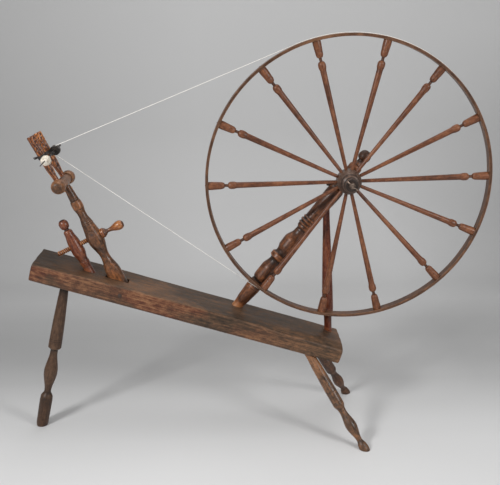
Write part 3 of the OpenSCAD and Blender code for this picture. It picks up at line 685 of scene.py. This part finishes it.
# %% Make the hub, the hoop and the spokes
def at_wheel(radius, angle, y=0.0):
    """Points at a distance in mm from the axle, an angle above +X and a place along Y."""
    radius, angle, y = np.broadcast_arrays(radius, angle, y)
    return axle_middle + np.stack([radius * np.cos(angle), y, radius * np.sin(angle)], -1) * MM


put("hub", woods["hub"], [
    (-36, 54), (-32, 60, "dome"), (-28, 60), (-24, 92, "ease"), (-21, 96), (21, 96), (25, 90),
    (48, 66, "ease"), (50, 60), (56, 66, "ease"), (62, 52, "ease"), (68, 50), (73, 54, "ease"),
    (80, 42, "dive")],
    axle_middle, axle_middle - back, side=(1, 0, 0), around=96,
    lines=((-12, 0.7), (12, 0.7), (32, 0.6), (40, 0.6), (68, 0.5)))


def make_hoop():
    """A strip from 0 to 360 + 13 degrees. Its ends are wedges: where the first grows from the
    inner face, the last shrinks onto the outer one."""
    inner, outer, lap = 548.2, 559.6, math.radians(13)
    tip, proud = 0.07, 0.25
    start = math.radians(247)
    angle = np.linspace(0, 2 * math.pi + lap, 540)
    past = (angle - 2 * math.pi) / lap
    low = inner + (outer - inner) * np.clip(past, 0, 1 - tip) + proud * (past > 0)
    high = inner + (outer - inner) * np.clip(angle / lap, tip, 1)
    half = 18.8 - 0.5 * (1 + np.sin(3 * angle)) - 0.3 * (1 + np.sin(11 * angle + 1))
    edge = np.minimum(2.0, (high - low) / 2.2)
    ring = plank_rings(half, (high - low) / 2, np.repeat(edge[:, None], 4, 1))
    across, deep = ring[..., 0], ring[..., 1] + ((high + low) / 2)[:, None]
    turn = np.repeat(angle[:, None], ring.shape[1], 1)
    rough = 0.25 * (ripple(np.stack([across / 9, deep / 9, turn * 56], -1), 6, 3) - 1)
    points, faces = closed_rings(at_wheel(deep + rough, start - turn, across))
    grain, _ = closed_rings(np.stack([across, deep - 550, turn * 560], -1) * MM)
    from_face = np.minimum(high[:, None] - deep, deep - low[:, None])
    corner = np.clip(1.6 - np.hypot(half[:, None] - np.abs(across), from_face) / 2, 0, 1)
    return make_piece("rim", points, faces, {"grain": grain, "wear_and_shading": capped(corner)})


fit(make_hoop(), "rim", woods["rim"])

spoke_drift = [0, -1, -1.5, -2.5, 0, -2, -0.5, -0.5, 1.5, -0.5, 1, -0.5, 2.5, 1.5]
for i, drift in enumerate(spoke_drift):
    node = f"spoke_{i + 1:02d}"
    angle = math.radians(2 + i * 360 / len(spoke_drift) + drift)
    put(node, woods["spoke"], [
        (34, 12), (48.5, 12), (54, 14), (434, 24), (451, 30, "ease"), (457, 30), (471, 12, "dive"),
        (484, 12), (501, 29, "dome"), (536, 33), (547.4, 32)],
        axle_middle, at_wheel(100, angle), around=32, line_step=6.0, lines=((477, 0.5), (508, 0.4)),
        zones=((500, 550, 0.35),))

# %% [markdown]
# ## The spindle post and its head
# The post's foot is flat on two sides, so that it fills the slot and can only tilt along
# the bench. A flat is a limit on the radius: half a width over the cosine of the angle. A
# plain plug sits in the front of the vase.

# %% Turn the post, the crossbar and the maidens
def flats(angle, z, r):
    """Two flats on the foot and two shallow ones on the vase, where the screw passes: the
    radius is at most half / cos(angle)."""
    half = np.where(z > 104 * MM, 28.3, 21.4) * MM
    cut = np.minimum(r, half / np.maximum(np.abs(np.cos(angle)), 1e-6))
    return cut, 0.35 * (cut < r)


def on_post(out, y, up):
    """A point in mm in front of the post's axis, across it and above its foot."""
    return post_foot + (out * out_post + y * back + up * up_post) * MM


put("spindle_post", woods["spindle"], [
    (-69, 58), (-63, 62), (30, 62), (104, 37, "ease"), (180, 66, "ease"), (196, 66), (244, 49),
    (286, 34, "ease"), (298, 34), (314, 40, "ease"), (330, 44, "dome"), (334, 44),
    (352, 37, "dive"), (382, 33), (411.7, 29), (415.7, 28)],
    post_foot, on_post(0, 0, 100), around=96, shape=flats,
    lines=((136, 0.9), (142, 0.6), (247, 0.8), (254, 1.1), (262, 0.8), (314, 1.2), (352, 1),
           (360, 0.6)),
    zones=((-10, 34, 0.5), (318, 346, 0.5), (262, 312, -0.15), (360, 420, -0.12)))

plug_middle = on_post(1, -28.2, 206)
plug = turned("vase_plug", [
    (-6, 25), (0.1, 24.5), (0.15, 23), (-0.5, 20), (-0.5, 15), (0.1, 11), (0.25, 8), (0.25, 1)],
    plug_middle, plug_middle - back, side=(0, 0, 1), around=40, wobble=0,
    shape=lambda angle, z, r: (r, np.where(z < 0, -0.7, 0.5)))
fit(plug, "spindle_post", woods["plug"], replace=False)

bar_up, bar_shift, maiden_y = 436, -12, 51
put("crossbar", woods["bar"], [
    (-120, 18), (-92.5, 55, "dome"), (-67.5, 36, "dive"), (-37, 40), (37, 40), (67.5, 36),
    (92.5, 55, "dome"), (120, 18, "dive")],
    on_post(0, bar_shift, bar_up), on_post(0, bar_shift - 100, bar_up), side=(0, 0, 1), around=64,
    zones=((-125, -80, 0.6), (-80, 80, 0.8), (80, 125, 0.6)))


def flutes(angle, z, r):
    """Seven hollows of depth 1.8 mm times sin^2(3.5 angle), cut by hand in short strokes."""
    drift = 1.3 * ripple(np.stack([0 * z, angle * 9 * MM, z], -1), 26 * MM, 21)
    hollow = np.sin(3.5 * angle + drift) ** 2
    strokes = (0.75 + 0.8 * ripple(polar(r, angle, z), 12 * MM, 22)).clip(0.1, 1.4)
    inside = step(z, 0.028, 0.04) * step(-z, -0.204, -0.196)
    # The flutes' crests are lighter and their hollows darker: wear and dirt, and also painted glints on the glossy
    # crests and painted shade in the hollows.
    return r - 1.8 * MM * inside * hollow * strokes, inside * (0.5 - 2.0 * hollow * strokes)


def maiden_axis(side):
    """The foot of a maiden on the crossbar and its direction, two degrees behind the post's."""
    tilt = math.radians(2)
    foot = on_post(-5, side * maiden_y + bar_shift, bar_up)
    return foot, math.sin(tilt) * -out_post + math.cos(tilt) * up_post


for node, side in (("maiden_front", -1), ("maiden_rear", 1)):
    foot, rise = maiden_axis(side)
    put(node, woods["maiden"], [
        (12, 20), (24, 20), (79.5, 29, "ease"), (109.5, 31), (130.5, 31), (204, 32), (207, 29)],
        foot, foot + rise, around=144, line_step=1.5, shape=flutes,
        lines=((148, 0.6), (166, 0.6), (184, 0.6), (60, 0.5), (88, 0.5)))

# %% [markdown]
# ## Leather bearings
# A strip of leather passes round each maiden. Its loop, which narrows to a neck, holds the
# spindle, and two curled tails stick out behind. All are drawn as strips with a thickness.

# %% Cut the leather
whorl_middle = on_post(29, 0, 556)
towards_point = np.array([0.018434, -0.999048, -0.039533])
spindle_axis = whorl_middle, whorl_middle + towards_point


def strip(place, thin, wide, width, thick):
    """A flat strip along a row of points. thin and wide are its directions at each point."""
    corners = np.array([[-0.75, -1], [-1, -0.5], [-1, 0.5], [-0.75, 1],
                        [0.75, 1], [1, 0.5], [1, -0.5], [0.75, -1]])
    ring = (place[:, None] + corners[None, :, :1] * thin[:, None] * thick / 2
            + corners[None, :, 1:] * wide[:, None] * width / 2)
    ring = ring + 0.3 * MM * ripple(ring, 0.012, 4)[..., None] * wide[:, None]
    return closed_rings(ring)


def ribbon(place, width, thick):
    """A strip whose width lies across the bench, so that it bends along the line of points."""
    wide = np.repeat(back[None], len(place), 0)
    return strip(place, np.cross(unit(np.gradient(place, axis=0)), wide), wide, width, thick)


def merge(name, parts):
    """One mesh from several pairs of points and faces."""
    points, faces, base = [], [], 0
    for part_points, part_faces in parts:
        points.append(part_points)
        faces += [[base + i for i in face] for face in part_faces]
        base += len(part_points)
    return make_piece(name, np.concatenate(points), faces, {})


def make_bearing(node, side):
    """Band, loop and tails of one bearing, in the post's own directions."""
    foot, rise = maiden_axis(side)
    maiden_here = foot + 120 * MM * rise
    spindle_here = whorl_middle - towards_point * (side * maiden_y + bar_shift) * MM
    band_r, tail_back, tail_up = 16.8 * MM, 14.5, 7
    turn = np.linspace(-math.pi, math.pi, 49)
    outward = np.cos(turn)[:, None] * out_post + np.sin(turn)[:, None] * back
    slant = (3.5 + 1.5 * np.sin(turn + 0.6))[:, None] * MM * rise
    upright = np.repeat(rise[None], len(turn), 0)
    band_line = maiden_here + outward * band_r + slant
    parts = [strip(band_line, outward, upright, 13 * MM, 2.2 * MM)]

    gap = spindle_here - maiden_here
    open_angle, loop_r, neck = math.radians(110), 5.6 * MM, 3 * MM
    round_turn = np.linspace(-open_angle, open_angle, 25)
    loop_out = gap @ out_post + loop_r * np.cos(round_turn)
    loop_up = gap @ up_post + loop_r * np.sin(round_turn)
    t = np.linspace(0, 1, 9)[:-1]
    run_out = np.concatenate([loop_out[0] * t, loop_out, loop_out[-1] * (1 - t[1:]), [0]])
    run_up = np.concatenate([(loop_up[0] + neck) * t - neck, loop_up,
                             loop_up[-1] + (neck - loop_up[-1]) * t[1:], [neck]])
    place = maiden_here + run_out[:, None] * out_post + run_up[:, None] * up_post
    parts.append(ribbon(place, 11 * MM, 2.4 * MM))

    t = np.linspace(0, 1, 14)[:, None]
    for width, length, bend, shift in ((11, 17, 3.0, 1.9), (10, 15, 1.0, -1.9)):
        place = (maiden_here - (tail_back + length * np.sin(1.7 * t)) * MM * out_post
                 + (tail_up + shift + bend * t * t) * MM * up_post + shift * t * MM * back)
        parts.append(ribbon(place, width * MM, 4.2 * MM))
    return merge(node, parts)


for node, side in (("bearing_front", -1), ("bearing_rear", 1)):
    fit(make_bearing(node, side), node, leather)

# %% [markdown]
# ## The spindle's load
# The whorl takes the band in its groove, and the yarn is wound on the iron in front. Wool
# goes on in crossing spirals, so the cop's surface carries two sets of ridges, and stray
# fibres stand off it.

# %% Make the whorl and the wound yarn
put("whorl", woods["whorl"], [
    (-11, 30), (-8, 38, "dome"), (-5.5, 38), (-1.2, 27), (1.2, 27), (5.5, 38), (8, 38),
    (11, 30, "dive")],
    *spindle_axis, side=(0, 0, 1), around=64)


def windings(angle, z, r):
    """Ridges of two crossing spirals, and soft lumps that stand up to 4 mm proud."""
    spiral = np.sin(angle + z / MM * 2.1) + np.sin(angle * 2 - z / MM * 1.3 + 1)
    lumps = ripple(polar(0.014, angle, z), 0.013, 12)
    lobes = 2.2 * np.cos(3 * angle - 3.9) + 0.6 * np.cos(4 * angle)
    inwards = (0.8 + 0.3 * spiral - 2.4 * lumps - lobes) * MM * step(r, 0.004, 0.011)
    return np.maximum(r - inwards, 4.3 * MM), 0


cop_outline = [(138, 12), (162, 18, "ease"), (171, 26, "dome"), (181, 28), (190, 25, "ease"),
               (201, 12, "dive")]
put("yarn_cop", wool, cop_outline, *spindle_axis, side=(0, 0, 1), around=72, shape=windings,
    line_step=1.5, sharp=80)


def tube(spine, radius, sides=6):
    """A closed tube of that radius round a line of points."""
    along = np.gradient(spine, axis=0)
    first = unit(np.cross(along, [0.31, 0.52, 0.79]))
    second = unit(np.cross(first, along))
    turn = (np.arange(sides) * 2 * math.pi / sides)[:, None]
    round_line = np.cos(turn) * second[:, None] + np.sin(turn) * first[:, None]
    return closed_rings(spine[:, None] + radius * round_line)


def loose_yarn(strands=60, hairs=420):
    """Turns of yarn that cross on the cop, some of them slack below it, and short hairs.
    A strand goes once round at radius R(z) + slack * (1 - cos a)^2 / 4."""
    draw = np.random.default_rng(33)
    axes = frame_along(*spindle_axis, (0, 0, 1))
    z_out, r_out = outline(cop_outline)
    parts = []
    t = np.linspace(0, 1, 34)
    for k in range(strands):
        a = draw.uniform(0, 6.3) + 2 * math.pi * 0.94 * t
        z = (draw.uniform(0.166, 0.197) + draw.normal(0, 0.007) * np.sin(a + draw.uniform(0, 6.3))
             + draw.normal(0, 0.004) * t)
        slack = draw.exponential(2.8) * MM * (k % 3 == 0)
        down = np.clip(0.5 - 0.5 * np.cos(a - draw.normal(0, 0.5)), 0, 1)
        r = np.interp(z, z_out, r_out) - 0.2 * MM + draw.uniform(0, 0.8) * MM + slack * down ** 2
        parts.append(tube(polar(r, a, z) @ axes + whorl_middle, draw.uniform(0.4, 0.75) * MM))
    t = np.linspace(0, 1, 7)
    for k in range(hairs):
        z = draw.uniform(0.152, 0.200) + draw.normal(0, 0.006) * t
        a = draw.uniform(0, 6.3) + draw.uniform(0.4, 1.6) * t
        stray = draw.uniform(0.3, 4.0) * MM * np.sin(math.pi * 0.8 * t) ** 1.2
        r = np.interp(z, z_out, r_out) + stray
        parts.append(tube(polar(r, a, z) @ axes + whorl_middle, 0.13 * MM, 3))
    return merge("loose_yarn", parts)


fit(loose_yarn(), "yarn_cop", wool, replace=False)

# %% [markdown]
# ## The tension screw
# The long wooden screw passes through the spindle post and works in the tension post. Its
# thread is a real helix: the radius depends on the distance along the screw less the turn
# round it, so the crest climbs one pitch in each turn.

# %% Turn the tension post and cut the screw
tension_foot = on_top(-427)
put("tension_post", woods["tension"], [
    (-30, 38), (20, 36), (42, 41, "ease"), (48, 38, "ease"), (90, 53, "ease"), (124, 50),
    (172, 37, "ease"), (184, 20, "dive"), (190, 20), (210, 39, "dome"), (229, 6, "dive")],
    tension_foot, tension_foot + up_post, around=64,
    lines=((20, 0.5), (45, 0.9), (52, 0.5), (176, 0.5), (187, 0.5), (198, 0.5)),
    zones=((-5, 12, 0.5),))

screw_start = on_post(0, 0, 190)
screw_out = np.array([0.902585, 0, 0.430511])
pitch = 8 * MM


def thread(angle, z, r):
    """A V thread up to the collar: radius 10.4 mm at the crest and 8 mm at the root."""
    turns = (z / pitch - angle / (2 * math.pi)) % 1
    profile = np.clip(np.abs(turns - 0.5) * 2.6 - 0.15, 0, 1)
    threaded = z < 27 * MM
    cut = np.where(threaded, np.minimum(r, (8.0 + 2.4 * profile) * MM), r)
    return cut, threaded * (2.2 * profile - 1.5)


put("tension_screw", woods["screw"], [
    (-163, 16), (-159, 21), (30.3, 21), (30.3, 37), (32, 40), (41, 40), (44, 34), (58, 16, "ease"),
    (64, 16), (108, 38, "ease"), (127, 8, "dive")],
    screw_start, screw_start + screw_out, around=64, shape=thread, line_step=0.8, sharp=60,
    lines=((36, 0.6), (46, 0.6), (61, 0.5)),
    zones=((-170, 26, 0.2), (27, 58, -1.0), (62, 84, -0.2)))

# %% [markdown]
# ## The drive band
# A string runs once round the hoop and the whorl. Two plies wind round each other along the
# route, which is two arcs and the two straight lines that touch both. The band is laid once,
# where it rests, and rides on neither body.

# %% Lay the band
def band_route(spacing=1.1 * MM):
    """Points of the loop in its plane, with the outward direction at each."""
    on_wheel, on_groove = 561.2 * MM, 15.0 * MM
    gap = (whorl_middle - axle_middle)[[0, 2]]
    far, towards = np.hypot(*gap), math.atan2(gap[1], gap[0])
    open_angle = math.acos((on_wheel - on_groove) / far)
    arcs = []
    for centre, radius, first, last in (
            (axle_middle, on_wheel, towards + open_angle, towards - open_angle + 2 * math.pi),
            (whorl_middle, on_groove, towards - open_angle, towards + open_angle)):
        turn = np.linspace(first, last, max(12, int((last - first) * radius / spacing)))
        outward = np.stack([np.cos(turn), np.sin(turn)], 1)
        arcs.append((centre[[0, 2]] + radius * outward, outward))
    run = int(np.linalg.norm(arcs[1][0][0] - arcs[0][0][-1]) / spacing)
    t = np.linspace(0, 1, run)[1:-1, None]
    route = []
    for (here, here_out), (there, there_out) in (arcs, arcs[::-1]):
        straight = here[-1] + (there[0] - here[-1]) * t
        route += [(here, here_out), (straight, np.repeat(there_out[:1], len(t), 0))]
    return [np.concatenate(stretches) for stretches in zip(*route)]


def make_band(lay=5.5 * MM, offset=0.66 * MM, thick=0.8 * MM, sides=6):
    """Two plies of radius thick, at the offset from the route, that turn once in each lay."""
    place, outward = band_route()
    length = np.linalg.norm(np.roll(place, -1, 0) - place, axis=1).sum()
    steps = np.linalg.norm(np.diff(place, axis=0), axis=1)
    turns = round(length / lay)
    twist = np.concatenate([[0], np.cumsum(steps)]) / length * turns * 2 * math.pi
    out3, spot = (np.stack([flat[:, 0], 0 * flat[:, 0], flat[:, 1]], 1)
                  for flat in (outward, place))
    turn = (np.arange(sides) * 2 * math.pi / sides)[:, None]
    round_ply = np.cos(turn) * out3[:, None] + np.sin(turn) * back
    points, faces = [], []
    for ply in (0, 1):
        a = (twist + ply * math.pi)[:, None]
        side = np.cos(a) * out3 + np.sin(a) * back
        points.append(((spot + offset * side)[:, None] + thick * round_ply).reshape(-1, 3))
        faces += (ring_faces(len(spot), sides, joined=True) + ply * len(spot) * sides).tolist()
    print(f"band: {length:.3f} m round, {turns} turns of twist")
    return make_piece("drive_band", np.concatenate(points), faces, {}, 80)


band = make_band()
paint(band, cotton)
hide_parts("drive_band")
towards_whorl = unit(whorl_middle - axle_middle)
tuple(axle_middle + 0.60 * towards_whorl)
tuple(whorl_middle - 0.03 * towards_whorl)
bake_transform(band)

# %% [markdown]
# ## What stays as it was built
# The axle, its pin and key, the nails, the pivot pin, the peg and the spindle are plain
# shapes that the CAD model already holds exactly, so they only take a finish.

# %% Finish the plain nodes
# The axle and its pin take the lighter iron, whose lightness is partly painted highlight.
for node, material in (("axle", pale_highlit_iron), ("axle_pin", pale_highlit_iron), ("rim_nails", iron),
                       ("spindle", iron)):
    paint(frame["nodes"][node], material)
for node, dark, light, streak in (
        ("axle_key", (34, 24, 19), (66, 48, 38), (6, 1, 1)),
        ("pivot_pin", (40, 29, 23), (70, 52, 42), (1, 1, 1)),
        ("crossbar_peg", (150, 100, 58), (198, 146, 98), (4, 1, 2))):
    cut_wood = plain(node + "_finish", dark, light, 0.5, 12, 0.2, {}, streak)
    paint(frame["nodes"][node], cut_wood)
print("kept nodes finished")

# %% [markdown]
# ## The studio
# A pale floor curves up into a grey wall; the grey is painted with the fall of light. Two
# soft lights stand in front, the stronger on the left, and a wide one hangs above, so that
# shade rounds the turnings. The wall is clear from its back, so that the object can be seen
# from behind as well.

# %% Floor, wall and lights
def make_sweep():
    """Floor and wall as one strip, joined by a quarter of a circle of this radius."""
    bend = np.radians(np.linspace(-90, 0, 25))
    radius, far, high = 0.9, 2.6, 7.0
    y = np.concatenate([[-6.0], far - radius + radius * np.cos(bend), [far]])
    z = np.concatenate([[0.0], radius + radius * np.sin(bend), [high]])
    points = np.array([[x, yy, zz] for yy, zz in zip(y, z) for x in (-8.0, 8.0)])
    faces = [[2 * i, 2 * i + 1, 2 * i + 3, 2 * i + 2] for i in range(len(y) - 1)]
    return make_piece("studio_sweep", points, faces, {}, 180)


sweep = make_sweep()
material, shader, wire = begin("studio_paper")
place = wire.node("TexCoord", out=3)
sideways, inwards, upwards = (wire.node("SeparateXYZ", {0: place}, out=i) for i in range(3))
back_up = (inwards + upwards).clip(-0.6, 3.4)
# The grey is painted light along the depth: brightest on the floor in front, darkest on the floor behind the
# object, lighter again up the curve and the wall.
grey = back_up.colours(*[(stop, (level,) * 3) for stop, level in (
    (0.035, 0.72), (0.11, 0.70), (0.195, 0.58), (0.245, 0.47), (0.30, 0.43), (0.375, 0.42),
    (0.43, 0.45), (0.51, 0.55), (0.65, 0.57), (0.84, 0.54), (1.0, 0.545))])
# Painted light falloff: darker towards the left and right, most on the low wall; a painted lift where the object's
# own shadow falls on the floor behind it; painted shade on the floor to the right, from the front up to the
# object.
low_wall = back_up.clip(0.45, 0.6) * (1 - (inwards + upwards).clip(2.9, 4.2))
left, right = (0 - sideways).clip(0.3, 1.9), sideways.clip(1.0, 1.9)
middle = (sideways.clip(-0.5, 0.1) * (1 - sideways.clip(0.7, 1.1))
          * back_up.clip(0.19, 0.27) * (1 - back_up.clip(0.41, 0.52)))
painted_shade_near_right = sideways.clip(0.5, 1.1) * (1 - back_up.clip(0.2, 0.3))
falloff = (1 - left * (low_wall * 0.06 + 0.17) - right * (low_wall * 0.2 + 0.02)
           + middle * 0.16 - painted_shade_near_right * 0.06)
(grey * falloff).into(shader.inputs["Base Color"])
shader.inputs["Roughness"].default_value = 0.9
from_behind = wire.node("NewGeometry", out=6)
paper = wire.node("MixShader", {0: from_behind, 1: Wire(wire.tree, shader.outputs[0]),
                                2: wire.node("BsdfTransparent")})
paper.into(wire.tree.nodes["Material Output"].inputs["Surface"])
paint(sweep, material)


def lamp(name, place, aim, size, power):
    """A square light of this size in metres and power in watts."""
    data = bpy.data.lights.new(name, "AREA")
    data.shape, data.size, data.energy = "SQUARE", size, power
    light = add_object(name, data)
    light.location = place
    light.rotation_euler = (Vector(aim) - Vector(place)).to_track_quat("-Z", "Y").to_euler()
    return light


lamp("key", (-2.7, -2.8, 2.8), (0, 0, 0.7), 0.9, 115)
lamp("fill", (3.1, -2.7, 2.6), (0, 0, 0.7), 1.1, 75)
lamp("top", (0.2, 0.4, 4.2), (0, 0.2, 0.5), 3.0, 45)
world = bpy.data.worlds.new("studio")
world.use_nodes = True
sky = Wire(world.node_tree)
seen = sky.node("LightPath", out=0)
light, backdrop = (sky.node("Background", {"Color": (1, 1, 1, 1), "Strength": strength})
                   for strength in (0.27, 0.5))
both = sky.node("MixShader", {0: seen, 1: light, 2: backdrop})
both.into(world.node_tree.nodes["World Output"].inputs["Surface"])
bpy.context.scene.world = world
bpy.context.scene.view_settings.view_transform = "Standard"
